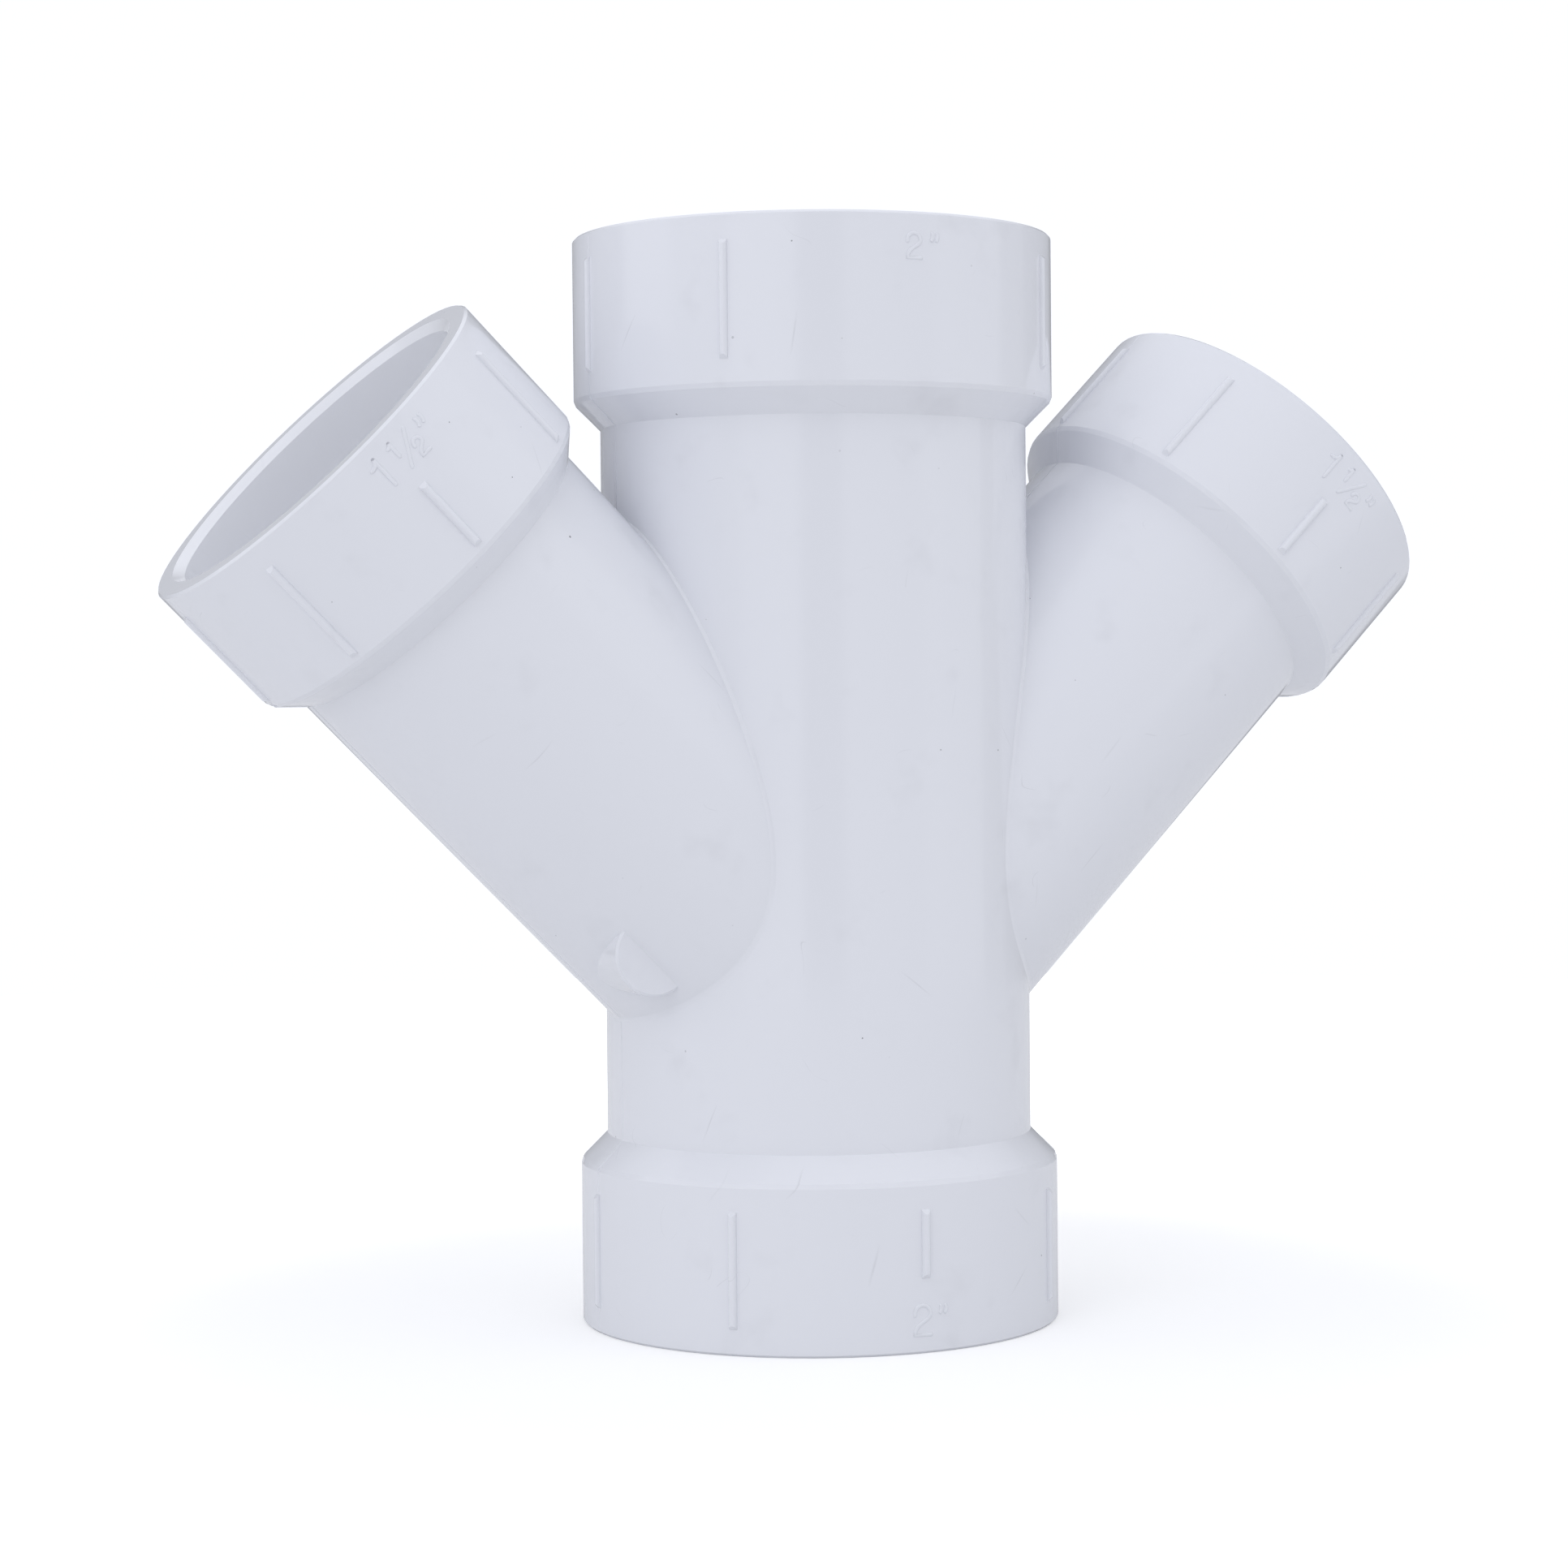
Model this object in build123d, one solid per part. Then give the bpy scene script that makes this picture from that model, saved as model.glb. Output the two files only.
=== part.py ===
"""Reducing double wye for drain pipe, moulded in one piece.

The run stands upright on its lower mouth, with the origin at the centre of that mouth and +Z up
its axis. Two smaller branches leave one point of the run, one to each side in the XZ plane, and
rise with it. Every arm ends in a hub with a socket that the pipe is cemented into. The mould parts
on the XZ plane. Lengths are in millimetres and angles in degrees.
"""
from build123d import *
from dataclasses import dataclass
from math import cos, radians, sin, tan
import os

# How far each mouth lies from the point where the axes meet
lower_reach = 48.5
upper_reach = 105.5
branch_reach = 105.2
branch_angle = 45.0           # between a branch and the run

# The run's arms, for pipe of 60.3 outside
run_socket_bore = 60.40       # halfway along the real socket's slight taper
run_socket_depth = 19.05
run_waterway_bore = 52.5
run_hub_wall = 3.95
run_hub_length = 23.15        # the straight outside of the hub, above its shoulder
run_body_wall = 4.15

# The branches' arms, for pipe of 48.3 outside
branch_socket_bore = 48.34
branch_socket_depth = 17.46
branch_waterway_bore = 40.9
branch_hub_wall = 4.1
branch_hub_length = 20.7
branch_body_wall = 4.2

# Edges and corners
shoulder_angle = 45.0         # slope of the cone between hub and body
shoulder_ease = 0.4           # narrow bevels that take the sharpness off the hub's corners
mouth_ease = 0.35
lead_in = 1.15                # bevel that guides the pipe into the socket
crotch_ease = 0.4             # narrow bevel in the outside corner where a branch leaves the run

# Raised bars round each hub, two of them on the mould's parting plane
rib_count = 8
rib_width = 1.2               # a half round bar, so it stands half its width proud
rib_length = 16.0
rib_end_slope = 45.0          # how a bar's ends run down to the hub
rib_mouth_gap = 3.6
run_short_rib = 9.4           # the front bar, which leaves room for the size mark
branch_short_rib = 10.8

# Round boss where the plastic entered the mould, low on the front of the left branch
gate_radius = 5.8
gate_flat = 15.6              # from the parting plane to the boss's flat end
gate_along = 26.2             # along the branch from where the axes meet
gate_drop = 18.2              # below the branch's axis
gate_ease = 0.3


@dataclass
class Arm:
    """One of the four arms. Its own frame has Z along its axis and X towards +Y, the back."""

    direction: tuple
    reach: float
    socket_bore: float
    socket_depth: float
    waterway_bore: float
    hub_wall: float
    hub_length: float
    body_wall: float
    front_rib: float

    @property
    def place(self):
        return Plane(origin=(0, 0, lower_reach), x_dir=(0, 1, 0), z_dir=self.direction)

    @property
    def hub_radius(self):
        return self.socket_bore / 2 + self.hub_wall

    @property
    def body_radius(self):
        return self.waterway_bore / 2 + self.body_wall


def run_arm(direction, reach, front_rib):
    return Arm(direction, reach, run_socket_bore, run_socket_depth, run_waterway_bore,
               run_hub_wall, run_hub_length, run_body_wall, front_rib)


def branch_arm(side):
    lean = radians(branch_angle)
    return Arm((side * sin(lean), 0, cos(lean)), branch_reach, branch_socket_bore,
               branch_socket_depth, branch_waterway_bore, branch_hub_wall,
               branch_hub_length, branch_body_wall, branch_short_rib)


def turned(arm, outline):
    """Turns an outline, given in radius and height, about an arm's axis."""
    return arm.place * revolve(Plane.XZ * outline, Axis.Z)


def eased(outline, corner, length):
    """Takes the corner nearest to a point off an outline."""
    return chamfer(outline.vertices().sort_by_distance(corner)[0], length)


def arm_body(arm):
    """The plain round outside of an arm, from where the axes meet to its mouth."""
    return arm.place * extrude(Circle(arm.body_radius), arm.reach)


def arm_hub(arm):
    """The thicker end of an arm, with the shoulder that slopes down to the body."""
    body = arm.body_radius
    hub = arm.hub_radius
    shoulder_top = arm.reach - arm.hub_length
    shoulder_foot = shoulder_top - (hub - body) / tan(radians(shoulder_angle))
    outline = make_face(Polyline((0, shoulder_foot), (body, shoulder_foot), (hub, shoulder_top),
                                 (hub, arm.reach), (0, arm.reach), close=True))
    outline = eased(outline, (hub, shoulder_top), shoulder_ease)
    outline = eased(outline, (hub, arm.reach), mouth_ease)
    return turned(arm, outline)


def arm_inside(arm):
    """The space that the waterway, the socket and its lead-in bevel leave in one arm."""
    waterway = arm.waterway_bore / 2
    socket = arm.socket_bore / 2
    stop = arm.reach - arm.socket_depth
    outline = make_face(Polyline((0, 0), (waterway, 0), (waterway, stop), (socket, stop),
                                 (socket, arm.reach - lead_in), (socket + lead_in, arm.reach),
                                 (0, arm.reach), close=True))
    return turned(arm, outline)


def outside(arms):
    """Joins the bodies, bevels the curve where each branch leaves the run, and adds the hubs."""
    bodies = Part() + [arm_body(arm) for arm in arms]
    meetings = [edge for edge in bodies.edges() if edge.geom_type not in (GeomType.LINE, GeomType.CIRCLE)]
    return chamfer(meetings, crotch_ease) + [arm_hub(arm) for arm in arms]


def rib_bar(length):
    """A round bar with sloping ends, which has the length asked for along its middle."""
    lengthwise = Plane(origin=(0, 0, 0), x_dir=(0, 0, 1), z_dir=(0, 1, 0))
    side = lengthwise * Trapezoid(length + rib_width, rib_width, rib_end_slope)
    return Cylinder(rib_width / 2, length + rib_width) & extrude(side, rib_width / 2, both=True)


def rib(arm, turn, length):
    """One bar along the outside of a hub, half sunk in it."""
    middle = arm.reach - rib_mouth_gap - rib_length + length / 2
    return arm.place * Rot(0, 0, turn) * Pos(arm.hub_radius, 0, middle) * rib_bar(length)


def hub_ribs(arm):
    """The ring of bars. The front one has a length of its own, and none where that is zero."""
    lengths = [rib_length] * rib_count
    lengths[rib_count // 2] = arm.front_rib
    return [rib(arm, i * 360 / rib_count, length) for i, length in enumerate(lengths) if length > 0]


def gate(arm):
    """The boss where the plastic entered, from its flat end in to the parting plane."""
    boss = Cylinder(gate_radius, gate_flat, align=(Align.CENTER, Align.CENTER, Align.MIN))
    boss = chamfer(boss.edges().group_by(Axis.Z)[0], gate_ease)
    return arm.place * Pos(-gate_flat, gate_drop, gate_along) * Rot(0, 90, 0) * boss


def fitting():
    lower = run_arm((0, 0, -1), lower_reach, run_short_rib)
    upper = run_arm((0, 0, 1), upper_reach, 0)
    left = branch_arm(-1)
    right = branch_arm(1)
    arms = [lower, upper, left, right]
    body = outside(arms)
    body += [bar for arm in arms for bar in hub_ribs(arm)]
    body += gate(left)
    return body - [arm_inside(arm) for arm in arms]


os.makedirs("parts", exist_ok=True)
double_wye = fitting()
double_wye.label = "double_wye"
export_step(double_wye, "parts/double_wye.step")
print(f"double_wye: {len(double_wye.solids())} solid, {double_wye.volume / 1000:.1f} cm3")
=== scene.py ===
# %% [markdown]
# # A double wye drain fitting in white plastic
# The real object is a single moulding. An upright run of pipe carries a socket at each end, and two
# smaller branches leave it at 45 degrees, each with a socket of its own. This lesson gives that
# shape its finish: the plastic, the thin line where the mould closed, the raised size marks, the
# studio and the camera. Everything is in metres, the run stands on its lower mouth, and the
# branches lie in the XZ plane.

# %% Load the frame
from math import copysign, cos, pi, radians, sin, sqrt

import bpy
from mathutils import Matrix, Vector
from mathutils.geometry import interpolate_bezier


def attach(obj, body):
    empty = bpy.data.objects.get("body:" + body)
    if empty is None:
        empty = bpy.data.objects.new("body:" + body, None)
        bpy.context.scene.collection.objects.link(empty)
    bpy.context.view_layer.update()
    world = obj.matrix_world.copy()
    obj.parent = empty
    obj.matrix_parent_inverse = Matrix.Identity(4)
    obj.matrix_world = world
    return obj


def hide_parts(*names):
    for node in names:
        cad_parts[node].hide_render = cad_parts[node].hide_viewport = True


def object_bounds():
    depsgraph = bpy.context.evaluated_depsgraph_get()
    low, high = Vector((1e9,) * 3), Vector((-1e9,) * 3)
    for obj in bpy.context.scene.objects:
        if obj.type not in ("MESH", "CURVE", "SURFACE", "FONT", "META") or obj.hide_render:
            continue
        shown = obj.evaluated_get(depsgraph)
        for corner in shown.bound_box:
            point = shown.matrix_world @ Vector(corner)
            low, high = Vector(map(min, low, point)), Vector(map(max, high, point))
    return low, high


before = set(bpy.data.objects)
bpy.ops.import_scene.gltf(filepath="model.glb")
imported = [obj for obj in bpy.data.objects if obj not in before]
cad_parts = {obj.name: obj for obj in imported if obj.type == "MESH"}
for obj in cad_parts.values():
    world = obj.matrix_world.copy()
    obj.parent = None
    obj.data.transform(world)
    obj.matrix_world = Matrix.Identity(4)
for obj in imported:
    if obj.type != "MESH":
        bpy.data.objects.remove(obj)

MM = 0.001
NODE = "double_wye"
BODY = "root"
cad_box = [list(corner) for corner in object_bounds()]
print("CAD box in millimetres:", [[round(v / MM, 2) for v in corner] for corner in cad_box])

# %% [markdown]
# ## The sizes that the details hang on
# A detail sits well only if it knows the surface below it. Each of the four arms is a plain round
# body, a sloping shoulder and a hub, all turned about one axis, and the four axes meet in one
# point. So a handful of sizes is enough to place a seam or a numeral anywhere on the outside. They
# are kept in one small record for each arm, and the frame's own box tells whether they are right.

# %% The four arms
RUN = {"hub": 34.15 * MM, "body": 30.40 * MM, "bore": 26.25 * MM, "hub_length": 23.15 * MM}
BRANCH = {"hub": 28.27 * MM, "body": 24.65 * MM, "bore": 20.45 * MM, "hub_length": 20.70 * MM}
BRANCH_LEAN = radians(45)
MEETING = Vector((0, 0, 48.5 * MM))     # where the four axes meet
LOWER = {**RUN, "lean": pi, "reach": 48.5 * MM}
UPPER = {**RUN, "lean": 0, "reach": 105.5 * MM}
LEFT = {**BRANCH, "lean": -BRANCH_LEAN, "reach": 105.2 * MM}
RIGHT = {**BRANCH, "lean": BRANCH_LEAN, "reach": 105.2 * MM}
ARMS = (LOWER, UPPER, LEFT, RIGHT)
MOUTH_EASE = 0.35 * MM                  # how far a mouth's outer edge is eased


def axis_of(arm):
    return Matrix.Rotation(arm["lean"], 3, "Y") @ Vector((0, 0, 1))


def seen_from_axis(arm, point):
    """How far out along an arm a point lies, and the way to it from the axis."""
    spoke = point - MEETING
    along = spoke.dot(axis_of(arm))
    return along, spoke - axis_of(arm) * along


def on_plane(arm, along, across):
    """A point of the XZ plane, given along an arm's axis and across it, positive to its right."""
    return MEETING + Matrix.Rotation(arm["lean"], 3, "Y") @ Vector((across, 0, along))


corner_gap = cad_box[1][0] - on_plane(RIGHT, RIGHT["reach"] - MOUTH_EASE, RIGHT["hub"]).x
print("The branch's outer corner misses the box by", round(corner_gap / MM, 3), "mm")

# %% [markdown]
# ## The camera
# The photograph was taken from half a metre away, a little to the left of the front and almost
# level with the fitting, so the mouths of the run are seen almost edge on. The camera's own axes
# are worked out from three angles, and a matrix puts them in place, which is plainer than aiming
# the camera at a target. A small shift brings the fitting to its place in the frame.

# %% Camera
VIEW_AZIMUTH = radians(-24.707)         # to the left of the front
VIEW_ELEVATION = radians(1.468)
VIEW_ROLL = radians(-0.518)
VIEW_DISTANCE = 502.9 * MM
VIEW_CENTRE = Vector((0, 0, 77 * MM))
LENS = 80.40                            # focal length in millimetres
SENSOR_WIDTH = 36
FRAME_PIXELS = 1932
AXIS_PIXEL = (1005.5, 960.7)            # where the camera's own axis meets the picture


def make_camera():
    backward = Vector((sin(VIEW_AZIMUTH) * cos(VIEW_ELEVATION),
                       -cos(VIEW_AZIMUTH) * cos(VIEW_ELEVATION),
                       sin(VIEW_ELEVATION)))
    rightward = Vector((cos(VIEW_AZIMUTH), sin(VIEW_AZIMUTH), 0))
    upward = backward.cross(rightward)
    x_axis = rightward * cos(VIEW_ROLL) + upward * sin(VIEW_ROLL)
    y_axis = upward * cos(VIEW_ROLL) - rightward * sin(VIEW_ROLL)
    data = bpy.data.cameras.new("photo_camera")
    data.lens = LENS
    data.sensor_width = SENSOR_WIDTH
    data.shift_x = (FRAME_PIXELS / 2 - AXIS_PIXEL[0]) / FRAME_PIXELS
    data.shift_y = (AXIS_PIXEL[1] - FRAME_PIXELS / 2) / FRAME_PIXELS
    camera = bpy.data.objects.new("photo_camera", data)
    turn = Matrix((x_axis, y_axis, backward)).transposed().to_4x4()
    camera.matrix_world = Matrix.Translation(VIEW_CENTRE + backward * VIEW_DISTANCE) @ turn
    bpy.context.scene.collection.objects.link(camera)
    bpy.context.scene.camera = camera
    return camera


camera = make_camera()
print("Camera at", [round(v, 4) for v in camera.location], "with a lens of", LENS, "mm")

# %% [markdown]
# ## The studio
# White plastic on a white ground shows its form only through small differences in what it reflects.
# The room around it is therefore painted on the world: broad soft panels to either side of the
# camera, a darker gap between them where the camera stands, and a dimmer room behind. More lamps
# could replace the painted room, but a world costs less time to render and shows no hard edges in
# the plastic. Room, floor and plastic are all made of nodes, so the few helpers that add and link
# nodes come first.

# %% Helpers for node trees
def put(tree, kind, inputs=None, **settings):
    """Adds a node, sets its properties, and fills its inputs with values or with other sockets."""
    node = tree.nodes.new(kind)
    for name, value in settings.items():
        setattr(node, name, value)
    for key, value in (inputs or {}).items():
        if isinstance(value, bpy.types.NodeSocket):
            tree.links.new(value, node.inputs[key])
        else:
            node.inputs[key].default_value = value
    return node


def calculate(tree, operation, *values, clamp=False):
    """One Math node, with its result."""
    node = put(tree, "ShaderNodeMath", dict(enumerate(values)), operation=operation,
               use_clamp=clamp)
    return node.outputs[0]


def on_vectors(tree, operation, *values):
    """One Vector Math node, with its outputs: Vector, and Value for a length or a product."""
    return put(tree, "ShaderNodeVectorMath", dict(enumerate(values)), operation=operation).outputs


def ramp(tree, value, stops, ease=True):
    """A grey ramp over a value, given as pairs of place and brightness."""
    node = put(tree, "ShaderNodeValToRGB", {0: value})
    node.color_ramp.interpolation = "EASE" if ease else "LINEAR"
    points = node.color_ramp.elements
    points[0].position, points[1].position = stops[0][0], stops[-1][0]
    for place, _ in stops[1:-1]:
        points.new(place)
    for point, (_, grey) in zip(points, stops):
        point.color = (grey, grey, grey, 1)
    return node.outputs[0]


print("Helpers for nodes:", [helper.__name__ for helper in (put, calculate, on_vectors, ramp)])

# %% [markdown]
# ### The painted room
# A real studio has panels on stands. Here the angle at which a ray leaves for the world picks a
# brightness from one ramp, which runs once round the room, and the height blends that into an even
# ceiling. The angles are counted from the camera's side, because that is how the panels were judged
# from the bands on the run. The camera itself sees plain white past the floor.

# %% The painted room
# Where each part of the wall starts, in degrees to the right of the camera, how bright it is, and
# over how many degrees it fades in
WALLS = [(-180, 0.34, 2), (-130, 0.43, 2), (-100, 1.02, 6), (-70, 0.67, 6), (-40, 0.93, 6),
         (-7, 0.26, 6), (15, 0.71, 3), (60, 0.95, 10), (101, 0.54, 1), (121, 0.38, 1),
         (140, 0.39, 2), (160, 0.27, 2)]
WALL_SPAN = 2.0                         # brightest value that the ramp stands for
CEILING = 0.97                          # brightness overhead
CEILING_FADE = (0.35, 0.8)              # heights, as sines, between which wall turns into ceiling
LIGHT_TINT = (1.0, 1.018, 1.078, 1)     # the cool cast that the whole photograph has


def wall_stops():
    """The walls as stops of a ramp that runs once round the room."""
    stops = [(-180, WALLS[0][1])]
    for (_, before, _), (start, grey, fade) in zip(WALLS, WALLS[1:]):
        stops += [(start - fade / 2, before), (start + fade / 2, grey)]
    stops.append((180, WALLS[-1][1]))
    return [((turn + 180) / 360, grey / WALL_SPAN) for turn, grey in stops]


def make_world():
    world = bpy.data.worlds.new("white_studio")
    world.use_nodes = True
    tree = world.node_tree
    tree.nodes.clear()
    place = put(tree, "ShaderNodeTexCoord").outputs["Generated"]
    turned = put(tree, "ShaderNodeMapping", {"Vector": place, "Rotation": (0, 0, -VIEW_AZIMUTH)},
                 vector_type="POINT").outputs[0]
    parts = put(tree, "ShaderNodeSeparateXYZ", {0: turned})
    towards_camera = calculate(tree, "MULTIPLY", parts.outputs["Y"], -1.0)
    turn = calculate(tree, "ARCTAN2", parts.outputs["X"], towards_camera)
    place_round = calculate(tree, "MULTIPLY_ADD", turn, 1 / (2 * pi), 0.5)
    walls = calculate(tree, "MULTIPLY", ramp(tree, place_round, wall_stops()), WALL_SPAN)
    height = ramp(tree, parts.outputs["Z"], [(CEILING_FADE[0], 0.0), (CEILING_FADE[1], 1.0)])
    room = put(tree, "ShaderNodeMix", {"Factor": height, "A": walls, "B": CEILING},
               data_type="FLOAT")
    seen = put(tree, "ShaderNodeLightPath").outputs["Is Camera Ray"]
    shown = put(tree, "ShaderNodeMix", {"Factor": seen, "A": room.outputs[0], "B": 1.0},
                data_type="FLOAT")
    light = put(tree, "ShaderNodeBackground", {"Color": LIGHT_TINT, "Strength": shown.outputs[0]})
    put(tree, "ShaderNodeOutputWorld", {"Surface": light.outputs[0]})
    bpy.context.scene.world = world


make_world()
bpy.context.scene.view_settings.view_transform = "Standard"
print("Room:", len(WALLS), "parts of wall, the brightest", max(grey for _, grey, _ in WALLS))

# %% [markdown]
# ### The lamp
# One soft lamp on the left adds a little direction, so that bars and numerals have a bright and a
# dark side. A lamp of this size would show in glossy plastic as a pale patch that the photograph
# doesn't have, so it is hidden from reflections and from the camera, and only its light arrives.

# %% The soft lamp
LAMP_PLACE = Vector((-0.95, -0.75, 0.55))
LAMP_SIZE = 0.6                         # the edge of the square lamp, in metres
LAMP_WATTS = 1.4


def make_lamp():
    data = bpy.data.lights.new("soft_lamp", "AREA")
    data.size = LAMP_SIZE
    data.energy = LAMP_WATTS
    data.color = LIGHT_TINT[:3]
    lamp = bpy.data.objects.new("soft_lamp", data)
    lamp.matrix_world = (Matrix.Translation(LAMP_PLACE)
                         @ (LAMP_PLACE - MEETING).to_track_quat("Z", "Y").to_matrix().to_4x4())
    lamp.visible_camera = False
    lamp.visible_glossy = False
    bpy.context.scene.collection.objects.link(lamp)


make_lamp()
print("Lamp:", LAMP_WATTS, "watts,", round((LAMP_PLACE - MEETING).length, 2), "m from the fitting")

# %% [markdown]
# ### The floor
# The fitting stands on a pale disc. Seen from almost level, the upright run reflects what lies far
# out beside it, so the disc ends close by and leaves the walls to be reflected. Lit by the room
# alone it would look grey beside the white ground. It therefore glows a little for the camera, less
# so near the fitting, where the soft shadow round the lower mouth has to stay.

# %% The floor
FLOOR_RADIUS = 0.6
FLOOR_LIT = 0.83                        # how pale the paint is, and so the light from below
FLOOR_GLOW = 0.30                       # the glow next to the fitting; far out it is 1
FLOOR_SHADE = (0.08, 0.25)              # from where to where, in metres, the shade may fade out
FLOOR_SIDES = 96
FLOOR_ROUGHNESS = 0.8
FLOOR_SHINE = 0.1


def make_floor():
    paint = bpy.data.materials.new("pale_floor")
    paint.use_nodes = True
    tree = paint.node_tree
    shader = tree.nodes["Principled BSDF"]
    seen = put(tree, "ShaderNodeLightPath").outputs["Is Camera Ray"]
    shader.inputs["Base Color"].default_value = (FLOOR_LIT, FLOOR_LIT, FLOOR_LIT, 1)
    shader.inputs["Roughness"].default_value = FLOOR_ROUGHNESS
    shader.inputs["Specular IOR Level"].default_value = FLOOR_SHINE
    shader.inputs["Emission Color"].default_value = (1, 1, 1, 1)
    place = put(tree, "ShaderNodeTexCoord").outputs["Object"]
    away = on_vectors(tree, "LENGTH", place)["Value"]
    faded = ramp(tree, away, [(FLOOR_SHADE[0], FLOOR_GLOW), (FLOOR_SHADE[1], 1.0)])
    tree.links.new(calculate(tree, "MULTIPLY", seen, faded), shader.inputs["Emission Strength"])
    bpy.ops.mesh.primitive_circle_add(vertices=FLOOR_SIDES, radius=FLOOR_RADIUS,
                                      fill_type="NGON", location=(0, 0, 0))
    floor = bpy.context.object
    floor.name = "studio_floor"
    floor.data.materials.append(paint)


make_floor()
print("Floor:", 2 * FLOOR_RADIUS, "m across")

# %% [markdown]
# ## What the plastic has in common everywhere
# Three effects show on the outside, inside the sockets and on the raised marks alike, only in other
# amounts: the uneven skin of a moulding, small dark specks, and the marks that handling leaves.
# Each is a node group that is built once, with named inputs, and put in each material with its own
# values. All three read the place on the object, so that no pattern slides when the camera moves.

# %% Helpers for shader groups
def new_group(name, inputs, outputs):
    """An empty group with its two ends. Inputs are names with a value, outputs are names."""
    group = bpy.data.node_groups.new(name, "ShaderNodeTree")
    for label, value in inputs.items():
        kind = "NodeSocketVector" if label == "Place" else "NodeSocketFloat"
        socket = group.interface.new_socket(label, in_out="INPUT", socket_type=kind)
        if value is not None:
            socket.default_value = value
    for label in outputs:
        group.interface.new_socket(label, in_out="OUTPUT", socket_type="NodeSocketFloat")
    given = group.nodes.new("NodeGroupInput").outputs
    return group, given, group.nodes.new("NodeGroupOutput").inputs


def noise(tree, place, per_metre, detail=0.0):
    """A noise over places, with its outputs: Fac for its height and Color for three numbers."""
    return put(tree, "ShaderNodeTexNoise",
               {"Vector": place, "Scale": per_metre, "Detail": detail}).outputs


def cell_texture(tree, place, per_metre):
    """Space divided into cells: the outputs of the node, and three numbers drawn for a cell."""
    cells = put(tree, "ShaderNodeTexVoronoi", {"Vector": place, "Scale": per_metre}).outputs
    return cells, put(tree, "ShaderNodeSeparateColor", {0: cells["Color"]}).outputs


print("Helpers for groups:", [helper.__name__ for helper in (new_group, noise, cell_texture)])

# %% [markdown]
# ### The mould's skin
# The skin of a moulding is never quite flat, so reflections waver on it. A fine noise gives its
# grain and a slow one the shallow ripple. Real displacement would need millions of faces for
# something a hundredth of a millimetre high, so the group puts out a height for a Bump node.

# %% The mould's skin
RIPPLE_SHARE = 4.0                      # how many times higher the ripple is than the grain


def mould_skin_group():
    group, given, result = new_group(
        "mould_skin", {"Place": None, "Grain": 1500.0, "Ripple": 90.0}, ["Height"])
    fine = noise(group, given["Place"], given["Grain"], detail=3.0)
    slow = noise(group, given["Place"], given["Ripple"], detail=1.0)
    height = calculate(group, "MULTIPLY_ADD", slow["Fac"], RIPPLE_SHARE, fine["Fac"])
    group.links.new(height, result["Height"])
    return group


MOULD_SKIN = mould_skin_group()
print("Group:", MOULD_SKIN.name)

# %% [markdown]
# ### Dark specks
# Burnt grains of plastic and dust show as tiny round specks, far apart and each in its own size.
# The cell texture divides space into cells and draws three numbers for each: one decides whether
# the cell holds a speck at all, one gives the speck's size, and one its darkness.

# %% Dark specks
def specks_group():
    group, given, result = new_group(
        "dark_specks", {"Place": None, "Cells per metre": 280.0, "Size": 0.050, "Share": 0.50},
        ["Specks"])
    cells, drawn = cell_texture(group, given["Place"], given["Cells per metre"])
    size = calculate(group, "MULTIPLY", given["Size"], drawn["Green"])
    near = calculate(group, "LESS_THAN", cells["Distance"], size)
    chosen = calculate(group, "LESS_THAN", drawn["Red"], given["Share"])
    speck = calculate(group, "MULTIPLY", near, chosen)
    group.links.new(calculate(group, "MULTIPLY", speck, drawn["Blue"]), result["Specks"])
    return group


SPECKS = specks_group()
print("Group:", SPECKS.name)

# %% [markdown]
# ### Marks of handling
# A fitting that was carried about has short scratches, a few curved hairlines and dull smudges. The
# scratches are thin round sheets, one in some of the cells of space, and a line shows where the
# surface cuts a sheet. The hairlines lie where a slow noise passes through its middle value, and
# they show in a few patches only. The smudges are the peaks of a noise. None of this needs an
# image, so the marks run on over every edge of the fitting.

# %% Marks of handling
SCRATCH_SHARE = 0.14                    # share of the cells that hold a scratch
SCRATCH_HALF_WIDTH = 0.14 * MM
SCRATCH_REACH = 3.2 * MM                # from a scratch's middle to where it has faded out
SCRATCH_BEND = 0.8 * MM
BENDS_PER_METRE = 150.0
HAIRS_PER_METRE = 170.0
HAIR_EDGES = (0.0012, 0.0040)           # how far off the middle a hair is full, and where it ends
PATCHES_PER_METRE = 140.0
PATCH_EDGES = (0.66, 0.72)
SMUDGE_EDGES = (0.57, 0.85)


def short_scratches(group, place, per_metre):
    """Mask of short faint lines, each where the surface cuts the thin round sheet in a cell."""
    wobble = noise(group, place, BENDS_PER_METRE)["Color"]
    bent = on_vectors(group, "MULTIPLY_ADD", wobble, (SCRATCH_BEND,) * 3, place)["Vector"]
    cells, drawn = cell_texture(group, place, per_metre)
    spoke = on_vectors(group, "SUBTRACT", bent, cells["Position"])["Vector"]
    tilt = on_vectors(group, "SUBTRACT", cells["Color"], (0.5, 0.5, 0.5))["Vector"]
    facing = on_vectors(group, "NORMALIZE", tilt)["Vector"]
    height = on_vectors(group, "DOT_PRODUCT", spoke, facing)["Value"]
    off_sheet = calculate(group, "ABSOLUTE", height)
    across = calculate(group, "DIVIDE", off_sheet, SCRATCH_HALF_WIDTH)
    along = calculate(group, "DIVIDE", on_vectors(group, "LENGTH", spoke)["Value"], SCRATCH_REACH)
    thin = calculate(group, "SUBTRACT", 1.0, across, clamp=True)
    short = calculate(group, "SUBTRACT", 1.0, along, clamp=True)
    chosen = calculate(group, "LESS_THAN", drawn["Red"], SCRATCH_SHARE)
    return calculate(group, "MULTIPLY", calculate(group, "MULTIPLY", thin, short), chosen)


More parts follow.
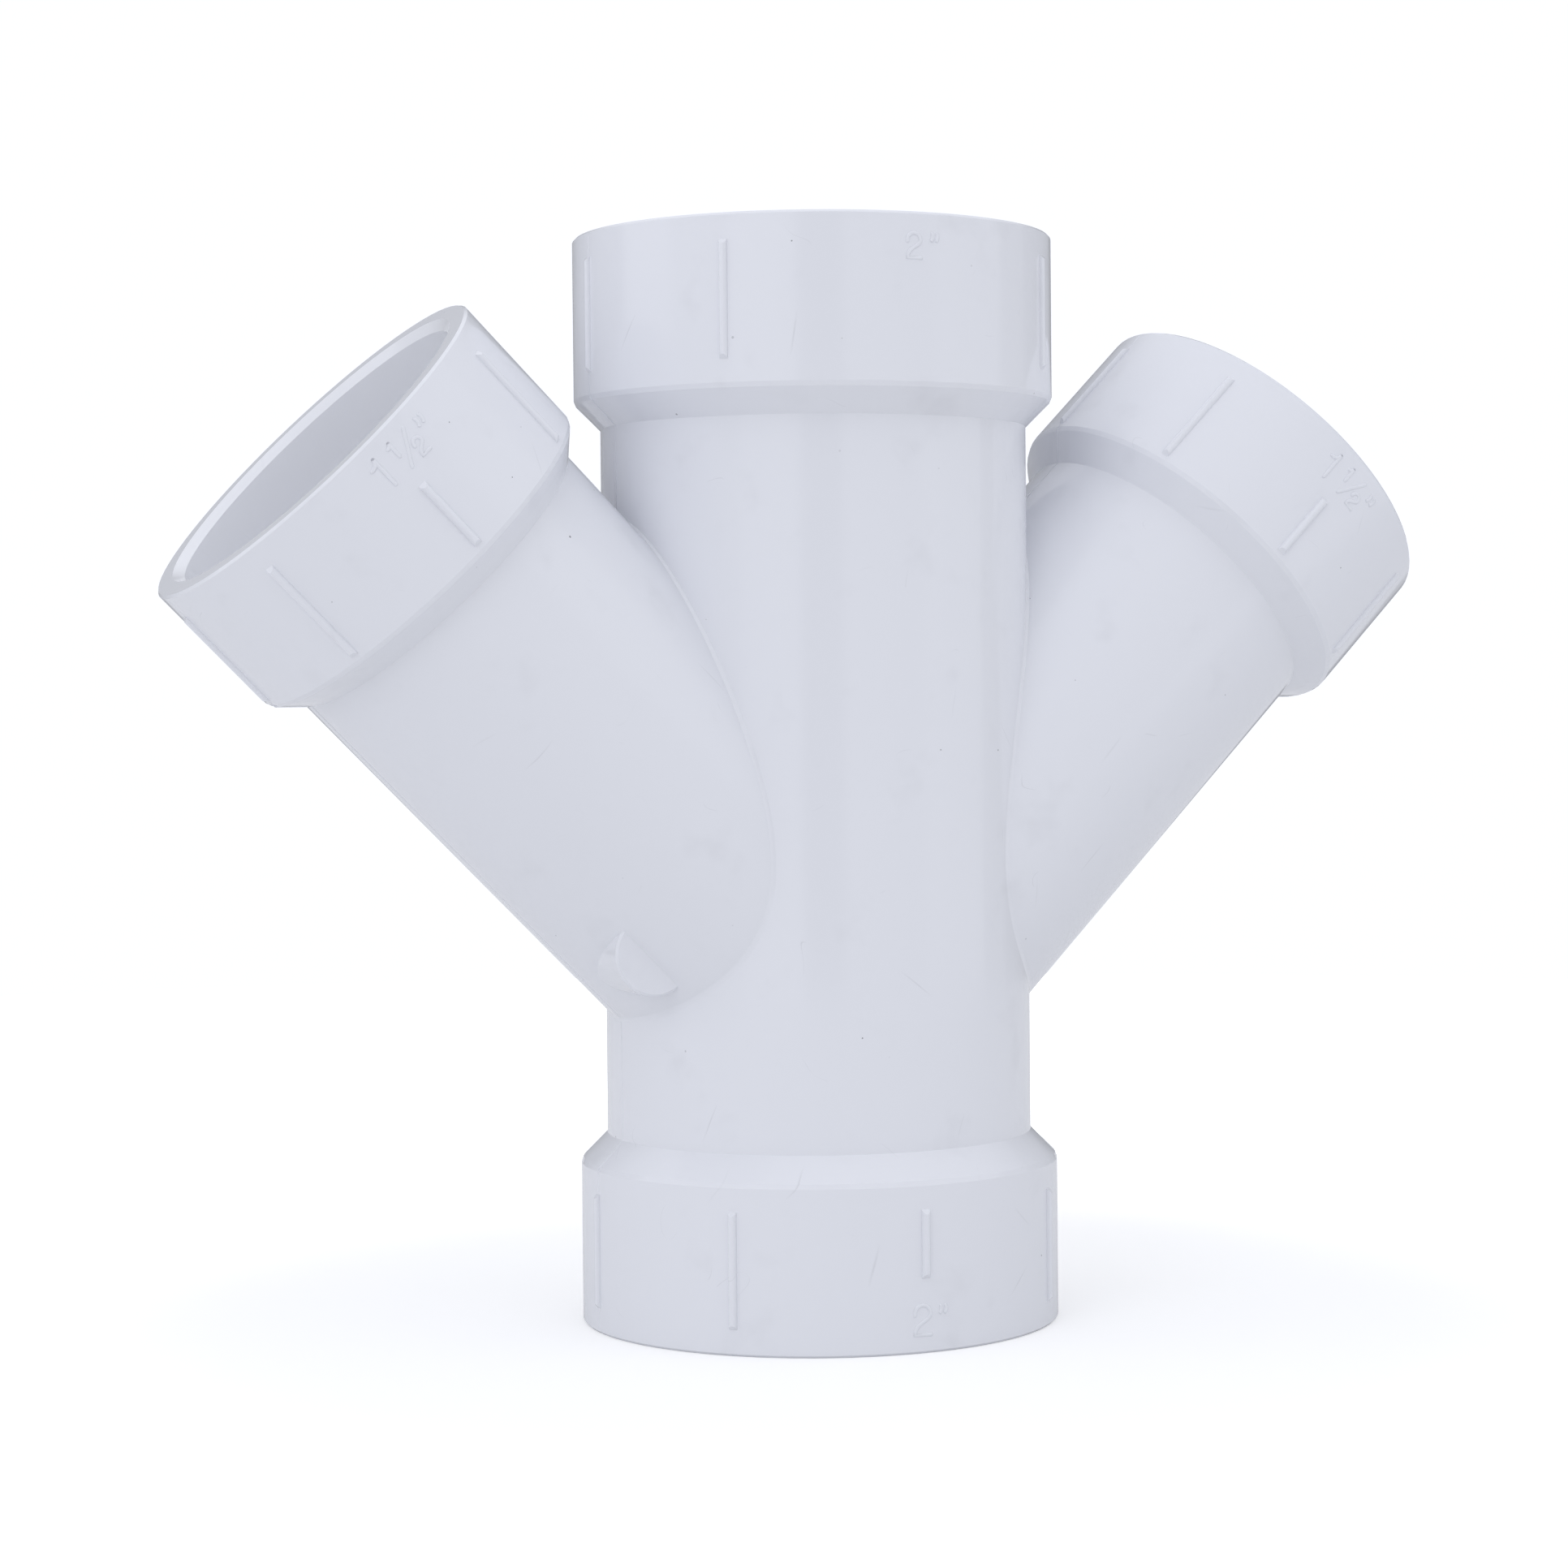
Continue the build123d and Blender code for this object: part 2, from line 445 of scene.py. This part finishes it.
def hairlines(group, place):
    """Mask of thin curved scratches."""
    slow = noise(group, place, HAIRS_PER_METRE)["Fac"]
    off_middle = calculate(group, "ABSOLUTE", calculate(group, "SUBTRACT", slow, 0.5))
    return ramp(group, off_middle, [(HAIR_EDGES[0], 1.0), (HAIR_EDGES[1], 0.0)], ease=False)


def only_in_patches(group, place, mask):
    """Keeps a mask in a few patches, and fades it out at their edges."""
    cloud = noise(group, place, PATCHES_PER_METRE, detail=1.0)["Fac"]
    patches = ramp(group, cloud, [(PATCH_EDGES[0], 0.0), (PATCH_EDGES[1], 1.0)])
    return calculate(group, "MULTIPLY", mask, patches)


def handling_group():
    group, given, result = new_group(
        "handling_marks", {"Place": None, "Scratches per metre": 120.0, "Smudges per metre": 110.0},
        ["Scratches", "Smudges"])
    place = given["Place"]
    scratches = short_scratches(group, place, given["Scratches per metre"])
    hairs = only_in_patches(group, place, hairlines(group, place))
    group.links.new(calculate(group, "MAXIMUM", scratches, hairs), result["Scratches"])
    cloud = noise(group, place, given["Smudges per metre"], detail=3.0)["Fac"]
    smudges = ramp(group, cloud, [(SMUDGE_EDGES[0], 0.0), (SMUDGE_EDGES[1], 1.0)])
    group.links.new(smudges, result["Smudges"])
    return group


HANDLING = handling_group()
print("Group:", HANDLING.name)

# %% [markdown]
# ## The plastics
# Rigid drain-pipe plastic is white with a touch of violet, and glossy. The outside took its skin
# from the mould and has been handled. The sockets and waterways were formed by cores, and hands
# seldom reach in there, so they carry fewer marks. Their white is also a little paler, which is
# painted light: it makes the insides of the sockets brighter than the room's light alone would.
# The raised marks and the seam are so small that few marks fall on them. One function makes all
# three plastics, because they differ only in numbers. A single material with a mask could do it
# too, but three plain ones are easier to read and to change.

# %% Plastic materials
OUTSIDE_WHITE = (0.835, 0.845, 0.885, 1)
# painted light: the cores' white is paler than the outside white, so the insides of the sockets look
# brighter than the room's light makes them
INSIDE_WHITE_PAINTED_LIGHTER = (0.880, 0.888, 0.920, 1)
DIRT = (0.10, 0.10, 0.11, 1)
DULLEST = 0.265                         # past it the picture's noise filter would show an edge
SMUDGE_DULLS = 0.06                     # what a mark of handling adds to the roughness
SCRATCH_DULLS = 0.10
SPECK_DARKNESS = 0.75
SKIN_HEIGHT = 0.02 * MM
SKIN_STRENGTH = 0.14
REFRACTION = 1.53


def grouped(tree, group, place, **values):
    """A group in a material, with its outputs. Inputs not named keep the group's own values."""
    return put(tree, "ShaderNodeGroup", {"Place": place, **values}, node_tree=group).outputs


def toned(tree, colour, amount, mask):
    """Mixes dirt into a colour where a mask is. The Mix node has its colours at inputs 6 and 7."""
    strength = calculate(tree, "MULTIPLY", mask, amount)
    mixed = put(tree, "ShaderNodeMix", {0: strength, 6: colour, 7: DIRT}, data_type="RGBA")
    return mixed.outputs[2]


def plastic(name, white, roughness, scratches, smudges, specks):
    """One plastic: its colour, its gloss, how dark its marks are, and its share of specks."""
    material = bpy.data.materials.new(name)
    material.use_nodes = True
    tree = material.node_tree
    shader = tree.nodes["Principled BSDF"]
    place = put(tree, "ShaderNodeTexCoord").outputs["Object"]
    marks = grouped(tree, HANDLING, place)
    grains = grouped(tree, SPECKS, place, Share=specks)
    relief = grouped(tree, MOULD_SKIN, place)
    colour = toned(tree, white, smudges, marks["Smudges"])
    colour = toned(tree, colour, scratches, marks["Scratches"])
    colour = toned(tree, colour, SPECK_DARKNESS, grains["Specks"])
    tree.links.new(colour, shader.inputs["Base Color"])
    dull = calculate(tree, "MULTIPLY_ADD", marks["Smudges"], SMUDGE_DULLS, roughness)
    dull = calculate(tree, "MULTIPLY_ADD", marks["Scratches"], SCRATCH_DULLS, dull)
    tree.links.new(calculate(tree, "MINIMUM", dull, DULLEST), shader.inputs["Roughness"])
    bump = put(tree, "ShaderNodeBump",
               {"Strength": SKIN_STRENGTH, "Distance": SKIN_HEIGHT, "Height": relief["Height"]})
    tree.links.new(bump.outputs[0], shader.inputs["Normal"])
    shader.inputs["IOR"].default_value = REFRACTION
    return material


OUTSIDE = plastic("moulded_outside", OUTSIDE_WHITE,
                  roughness=0.10, scratches=0.16, smudges=0.07, specks=0.60)
# the cores' plastic has fewer real marks, and its paler white is painted light inside the sockets
INSIDE = plastic("cored_inside", INSIDE_WHITE_PAINTED_LIGHTER,
                 roughness=0.14, scratches=0.08, smudges=0.06, specks=0.25)
RAISED = plastic("raised_detail", OUTSIDE_WHITE,
                 roughness=0.14, scratches=0.08, smudges=0.05, specks=0.05)
print("Plastics:", [material.name for material in (OUTSIDE, INSIDE, RAISED)])

# %% [markdown]
# ## The moulded body
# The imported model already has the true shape, with its bevels, bars and sockets. Its triangles are
# loose, though, and each would catch the light by itself. A copy is welded at its corners and
# shaded smooth up to the sharp edges, and it stands in for the node. The faces of the sockets and
# waterways get the plastic of the cores. The place of a face tells which they are, so nothing is
# picked by hand.

# %% The welded body
SHARP_ANGLE = radians(28)
WELD = 0.001 * MM                       # corners closer than this become one
WELL_INSIDE = 2 * MM                    # an inner face lies at least this far under a hub's skin
LOOKING_IN = 0.3                        # and looks at the axis at least this squarely, as a cosine


def link_piece(name, mesh):
    piece = bpy.data.objects.new(name, mesh)
    bpy.context.scene.collection.objects.link(piece)
    return piece


def evaluated_mesh(source):
    """A plain mesh of what an object looks like with its modifiers."""
    depsgraph = bpy.context.evaluated_depsgraph_get()
    return bpy.data.meshes.new_from_object(source.evaluated_get(depsgraph))


def welded(piece):
    """The mesh of a piece with its loose triangles joined at their corners."""
    weld = piece.modifiers.new("weld", "WELD")
    weld.merge_threshold = WELD
    mesh = evaluated_mesh(piece)
    piece.modifiers.remove(weld)
    return mesh


def faces_a_core(face):
    """True for a face of a socket or waterway: it lies well inside an arm and looks inwards."""
    for arm in ARMS:
        along, out = seen_from_axis(arm, face.center)
        inside = along > 0 and out.length < arm["hub"] - WELL_INSIDE
        if inside and face.normal.dot(out) < -LOOKING_IN * out.length:
            return True
    return False


def make_body():
    """A welded copy of the node's mesh, smooth up to its sharp edges, in its two plastics."""
    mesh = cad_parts[NODE].data.copy()
    if "custom_normal" in mesh.attributes:
        mesh.attributes.remove(mesh.attributes["custom_normal"])
    piece = link_piece("moulded_body", mesh)
    piece.data = welded(piece)
    piece.data.name = "moulded_body"
    piece.data.materials.clear()
    piece.data.materials.append(OUTSIDE)
    piece.data.materials.append(INSIDE)
    for face in piece.data.polygons:
        face.use_smooth = True
        face.material_index = 1 if faces_a_core(face) else 0
    piece.data.set_sharp_from_angle(angle=SHARP_ANGLE)
    return piece


body = make_body()
inner_faces = sum(face.material_index for face in body.data.polygons)
print("Body:", len(body.data.vertices), "points and", len(body.data.polygons), "faces,",
      inner_faces, "of them on the cores' side")

# %% [markdown]
# ### Exact directions for the turned surfaces
# Smooth shading guesses the direction of a surface from the triangles round a corner, and long thin
# triangles beside a bar or a crotch make it guess wrong, which shows as soft blotches. More
# triangles would only make the blotches smaller. But almost every face here belongs to a surface
# that was turned about one of the four axes, where the exact direction is known. Each corner of
# those faces gets it as a custom normal, so reflections run over the pipes without a break.

# %% Exact directions
CLOSE = 0.15 * MM                       # how far a triangle's middle may lie off the true surface
LEVEL = 0.06                            # largest slant, as a sine, of a face on a turned surface


def arm_turned_about(face):
    """The arm about whose axis the surface of a face was turned, if there is one."""
    for arm in ARMS:
        along, out = seen_from_axis(arm, face.center)
        if along < 0 or out.length > arm["hub"] + CLOSE / 2:
            continue
        slant = face.normal.dot(axis_of(arm).cross(out).normalized())
        shoulder_foot = arm["reach"] - arm["hub_length"] - (arm["hub"] - arm["body"])
        on_pipe = min(abs(out.length - arm["body"]), abs(out.length - arm["bore"])) < CLOSE
        straight = abs(face.normal.dot(axis_of(arm))) < LEVEL
        if abs(slant) < LEVEL and (along > shoulder_foot - CLOSE or on_pipe and straight):
            return arm
    return None


def exact_normal(arm, face, point):
    """Direction of a turned surface at a point: the tilt of the face, turned to the point."""
    out = seen_from_axis(arm, point)[1].normalized()
    tilt = face.normal.dot(axis_of(arm))
    outwards = copysign(sqrt(1 - min(tilt * tilt, 1)), face.normal.dot(out))
    return axis_of(arm) * tilt + out * outwards


def smooth_exactly(mesh):
    """Gives turned surfaces their exact normals. The rest stays smooth up to its sharp edges."""
    normals = [corner.vector.copy() for corner in mesh.corner_normals]
    turned = 0
    for face in mesh.polygons:
        arm = arm_turned_about(face)
        if arm:
            turned += 1
            for loop in face.loop_indices:
                point = mesh.vertices[mesh.loops[loop].vertex_index].co
                normals[loop] = exact_normal(arm, face, point)
    mesh.normals_split_custom_set(normals)
    return turned


print("Faces with exact normals:", smooth_exactly(body.data), "of", len(body.data.polygons))

# %% [markdown]
# ## The seam of the mould
# The two halves of the mould meet on the XZ plane and leave a hair-thin raised line on both sides
# of the fitting. It follows body, shoulder and hub, so it is a path with a round wire drawn along
# it. Geometry Nodes suit this: the path stays a curve with a few corners, and one input sets the
# width. The wire's middle lies just under the surface, so only a low, wide crest stands proud.

# %% Seam tree
SEAM_WIDTH = 0.30 * MM
SEAM_PROUD = 0.06 * MM
SEAM_SINK = SEAM_WIDTH / 2 - SEAM_PROUD
SEAM_END = 0.8 * MM                     # how far the line stops short of a mouth


def new_tree(name, inputs):
    """An empty geometry tree that takes a shape and named sizes, with its inputs and its output."""
    tree = bpy.data.node_groups.new(name, "GeometryNodeTree")
    tree.interface.new_socket("Shape", in_out="INPUT", socket_type="NodeSocketGeometry")
    for label, value in inputs.items():
        kind = "NodeSocketInt" if isinstance(value, int) else "NodeSocketFloat"
        tree.interface.new_socket(label, in_out="INPUT", socket_type=kind).default_value = value
    tree.interface.new_socket("Material", in_out="INPUT", socket_type="NodeSocketMaterial")
    tree.interface.new_socket("Shape", in_out="OUTPUT", socket_type="NodeSocketGeometry")
    return tree, tree.nodes.new("NodeGroupInput").outputs, tree.nodes.new("NodeGroupOutput").inputs


def finish_tree(tree, given, result, shape):
    """Ends a tree the way the export needs: real geometry with its material."""
    real = put(tree, "GeometryNodeRealizeInstances", {"Geometry": shape})
    smooth = put(tree, "GeometryNodeSetShadeSmooth", {"Geometry": real.outputs[0]})
    painted = put(tree, "GeometryNodeSetMaterial",
                  {"Geometry": smooth.outputs[0], "Material": given["Material"]})
    tree.links.new(painted.outputs[0], result["Shape"])


def round_wire(tree, path, radius, sides):
    """A closed round wire along a path."""
    ring = put(tree, "GeometryNodeCurvePrimitiveCircle", {"Resolution": sides, "Radius": radius})
    return put(tree, "GeometryNodeCurveToMesh",
               {"Curve": path, "Profile Curve": ring.outputs[0], "Fill Caps": True}).outputs[0]


def swept_wire_tree():
    tree, given, result = new_tree("wire_along_path", {"Width": SEAM_WIDTH, "Sides": 8})
    radius = calculate(tree, "MULTIPLY", given["Width"], 0.5)
    finish_tree(tree, given, result, round_wire(tree, given["Shape"], radius, given["Sides"]))
    return tree


wire_tree = swept_wire_tree()
print("Tree:", wire_tree.name, "with", len(wire_tree.nodes), "nodes")

# %% [markdown]
# ### From a path to a piece
# A path is a curve object whose points carry a place and a radius. The tree runs on it as a
# modifier, and what comes out is copied to a plain mesh.

# %% Paths and pieces
def paths_object(name, paths):
    """A curve object with one straight-sided spline for each path of points and radii."""
    data = bpy.data.curves.new(name, "CURVE")
    data.dimensions = "3D"
    for path in paths:
        spline = data.splines.new("POLY")
        spline.points.add(len(path) - 1)
        for point, (place, radius) in zip(spline.points, path):
            point.co = (*place, 1)
            point.radius = radius
    return link_piece(name, data)


def grown(source, name, tree, values):
    """Runs a tree on an object and keeps the result as a plain mesh piece of its own."""
    modifier = source.modifiers.new(tree.name, "NODES")
    modifier.node_group = tree
    for item in tree.interface.items_tree:
        if item.in_out == "INPUT" and item.name in values:
            modifier[item.identifier] = values[item.name]
    mesh = evaluated_mesh(source)
    mesh.name = name
    source.modifiers.remove(modifier)
    bpy.data.objects.remove(source)
    return link_piece(name, mesh)


print("Helpers for pieces:", [helper.__name__ for helper in (paths_object, grown)])

# %% [markdown]
# ### Where the seam runs
# Four lines cover the whole outline, one for each pair of neighbouring arms. Each comes in along
# one arm from its mouth, turns at the corner where the two bodies meet, and goes out along the
# other. The corner's place follows from the two radii and the angle between the arms, so it needs
# no measuring.

# %% The seam
def arm_outline(arm, side, start):
    """The outside of an arm on its side 1 or -1, from a place on its body out to its mouth."""
    shoulder_top = arm["reach"] - arm["hub_length"]
    shoulder_foot = shoulder_top - (arm["hub"] - arm["body"])
    corners = [(start, arm["body"]), (shoulder_foot, arm["body"]), (shoulder_top, arm["hub"]),
               (arm["reach"] - SEAM_END, arm["hub"])]
    return [on_plane(arm, along, side * (across - SEAM_SINK)) for along, across in corners]


def meeting_along(arm, other):
    """How far out along an arm its outline meets that of its neighbour."""
    between = abs(abs(arm["lean"]) - abs(other["lean"]))
    return (other["body"] + arm["body"] * cos(between)) / sin(between)


def seam_between(arm, other):
    """One seam, in along the right of an arm and out along the left of its neighbour."""
    inwards = arm_outline(arm, 1, meeting_along(arm, other))
    outwards = arm_outline(other, -1, meeting_along(other, arm))
    return [(point, 1.0) for point in inwards[::-1] + outwards[1:]]


neighbours = [(UPPER, RIGHT), (RIGHT, LOWER), (LOWER, LEFT), (LEFT, UPPER)]
seam_paths = [seam_between(arm, other) for arm, other in neighbours]
seam = grown(paths_object("seam_paths", seam_paths), "parting_seam", wire_tree,
             {"Width": SEAM_WIDTH, "Material": RAISED})
print("Seam:", len(seam_paths), "lines,", len(seam.data.polygons), "faces")

# %% [markdown]
# ## The raised size marks
# Each hub carries the nominal size of its pipe in small raised numerals. The cutter that made the
# mould drew them as grooves with a round bottom, so on the plastic they stand out as rounded
# ridges. A text object could give the shapes, but only with flat tops and sharp corners. Here each
# numeral is a few strokes of unit height, and a layout puts them on a hub at their size.

# %% Strokes of the numerals
CURVE_STEPS = 9


def arc(centre, radius, start, end):
    """Points of an arc between two angles in degrees."""
    turns = [radians(start + (end - start) * i / CURVE_STEPS) for i in range(CURVE_STEPS + 1)]
    return [(centre[0] + radius * cos(turn), centre[1] + radius * sin(turn)) for turn in turns]


def bend(start, lean_out, lean_in, end):
    """Points of a curve that leaves and arrives along two given handles."""
    corners = [Vector((x, y, 0)) for x, y in (start, lean_out, lean_in, end)]
    return [(point.x, point.y) for point in interpolate_bezier(*corners, CURVE_STEPS)]


def numeral_two():
    """A 2 of unit height and 0.6 wide, as one stroke."""
    bowl = 0.29
    top = arc((bowl, 1 - bowl), bowl, 190, 0)
    neck = bend((2 * bowl, 1 - bowl), (0.56, 0.42), (0.0, 0.45), (0.0, 0.0))
    return [top + neck[1:] + [(0.60, 0.0)]]


def numeral_one():
    """A 1 of unit height whose stem stands at zero, as a stem and a flag."""
    return [[(0, 0), (0, 1)], bend((-0.27, 0.77), (-0.10, 0.78), (-0.02, 0.86), (0, 1))]


def slash():
    """The stroke between the numbers of a fraction, of unit height."""
    return [[(0, 0), (0.64, 1.0)]]


def inch_marks():
    """Two short tails of unit height, side by side."""
    return [bend((x, 1.0), (x + 0.22, 0.75), (x + 0.12, 0.25), (x - 0.15, 0.0))
            for x in (0.0, 0.72)]


print("Points of a 2 and of a 1:",
      [sum(map(len, strokes)) for strokes in (numeral_two(), numeral_one())])

# %% [markdown]
# ### The two layouts
# The run's hubs read two inches and the branches' hubs one and a half. Left edges, base lines and
# heights are in millimetres. The left edges count from the middle of the front, and the base lines
# from the mouth. The tails of the inch mark are thinner than the numerals, and taper.

# %% Layout of the marks
TAILS_UP = 0.68                         # where an inch mark starts, as a share of the height
TAIL_WEIGHT = 0.85
TAIL_TAPER = 0.4
BRANCH_MARK_HEIGHT = 4.2


def placed(strokes, left, base, height, weight=1.0, taper=1.0):
    """Strokes at their size and place in millimetres, with a relative thickness that may taper."""
    result = []
    for stroke in strokes:
        last = len(stroke) - 1
        places = [Vector((left + x * height, base + y * height, 0)) * MM for x, y in stroke]
        result.append([(place, weight * (1 + (taper - 1) * i / last))
                       for i, place in enumerate(places)])
    return result


def tails(left, base, height, size):
    """An inch mark of some size, beside numerals of some height."""
    return placed(inch_marks(), left, base + TAILS_UP * height, size, TAIL_WEIGHT, TAIL_TAPER)


def two_inches(base, height):
    return (placed(numeral_two(), -0.5 - 0.3 * height, base, height)
            + tails(2.2, base, height, size=1.05))


def one_and_a_half_inches(base, height):
    return (placed(numeral_one(), -2.45, base, height)
            + placed(numeral_one(), 0.45, base + 0.50 * height, 0.52 * height, weight=0.9)
            + placed(slash(), 0.65, base, 4.3, weight=0.85)
            + placed(numeral_two(), 2.85, base, 0.56 * height, weight=0.9)
            + tails(5.4, base, height, size=1.2))


print("Strokes:", len(two_inches(0, 1)), "for two inches,",
      len(one_and_a_half_inches(0, 1)), "for one and a half")

# %% [markdown]
# ### From strokes to ridges on a hub
# The tree draws a round wire along the strokes and puts a ball on each end, so that no stroke stops
# with a flat cut. Then it wraps everything round the hub: the distance across becomes an angle
# about the axis, and the height of the wire is pressed flatter, because a cutter goes less deep
# than wide.

# %% Tree for raised strokes
STROKE_WIDTH = 0.55 * MM
STROKE_FLATNESS = 0.5                   # height of a ridge as a share of half its width


def raised_strokes_tree():
    tree, given, result = new_tree("strokes_round_hub", {
        "Stroke width": STROKE_WIDTH, "Flatness": STROKE_FLATNESS, "Hub radius": 0.03, "Sides": 12})
    radius = calculate(tree, "MULTIPLY", given["Stroke width"], 0.5)
    wire = round_wire(tree, given["Shape"], radius, given["Sides"])
    ends = put(tree, "GeometryNodeCurveEndpointSelection")
    ball = put(tree, "GeometryNodeMeshIcoSphere", {"Radius": radius, "Subdivisions": 2})
    thickness = put(tree, "GeometryNodeInputRadius").outputs[0]
    balls = put(tree, "GeometryNodeInstanceOnPoints",
                {"Points": given["Shape"], "Selection": ends.outputs[0],
                 "Instance": ball.outputs[0], "Scale": thickness})
    joined = put(tree, "GeometryNodeJoinGeometry")
    for part in (balls.outputs[0], wire):
        tree.links.new(part, joined.inputs[0])
    solid = put(tree, "GeometryNodeRealizeInstances", {"Geometry": joined.outputs[0]})
    place = put(tree, "GeometryNodeInputPosition").outputs[0]
    flat = put(tree, "ShaderNodeSeparateXYZ", {0: place}).outputs
    turn = calculate(tree, "DIVIDE", flat["X"], given["Hub radius"])
    reach = calculate(tree, "MULTIPLY_ADD", flat["Z"], given["Flatness"], given["Hub radius"])
    across = calculate(tree, "MULTIPLY", reach, calculate(tree, "SINE", turn))
    forward = calculate(tree, "MULTIPLY", reach, calculate(tree, "COSINE", turn))
    depth = calculate(tree, "MULTIPLY", forward, -1.0)      # the front is at negative Y
    curved = put(tree, "ShaderNodeCombineXYZ", {0: across, 1: depth, 2: flat["Y"]})
    wrapped = put(tree, "GeometryNodeSetPosition",
                  {"Geometry": solid.outputs[0], "Position": curved.outputs[0]})
    finish_tree(tree, given, result, wrapped.outputs[0])
    return tree


stroke_tree = raised_strokes_tree()
print("Tree:", stroke_tree.name, "with", len(stroke_tree.nodes), "nodes")

# %% [markdown]
# ### The four marks
# On the run both marks stand upright. On a branch they lean with it, with their tops to its mouth.
# The tree works round an upright axis through the origin, and one matrix then takes each mark to
# its arm.

# %% The four marks
def size_mark(name, strokes, arm, lean, mouth):
    """Wraps strokes round an arm's hub. They read up the way of the lean, and the mouth, from which
    their base lines count, lies at a distance along it."""
    mark = grown(paths_object(name + "_strokes", strokes), name, stroke_tree,
                 {"Hub radius": arm["hub"], "Stroke width": STROKE_WIDTH, "Material": RAISED})
    mark.data.transform(Matrix.Translation(MEETING) @ Matrix.Rotation(lean, 4, "Y")
                        @ Matrix.Translation((0, 0, mouth)))
    return mark


def branch_mark(name, arm, base):
    strokes = one_and_a_half_inches(base, BRANCH_MARK_HEIGHT)
    return size_mark(name, strokes, arm, arm["lean"], arm["reach"])


marks = [
    size_mark("upper_size_mark", two_inches(base=-6.25, height=3.35), UPPER, 0, UPPER["reach"]),
    size_mark("lower_size_mark", two_inches(base=2.55, height=4.05), LOWER, 0, -LOWER["reach"]),
    branch_mark("left_size_mark", LEFT, base=-6.45),
    branch_mark("right_size_mark", RIGHT, base=-6.55),
]
print("Faces of the marks:", {mark.name: len(mark.data.polygons) for mark in marks})

# %% [markdown]
# ## Hand over to the frame
# Every piece rides on the one body that the model has. The welded copy replaces the plain node,
# which is hidden.

# %% Ride, replace and finish
for piece in [body, seam, *marks]:
    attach(piece, BODY)
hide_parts(NODE)
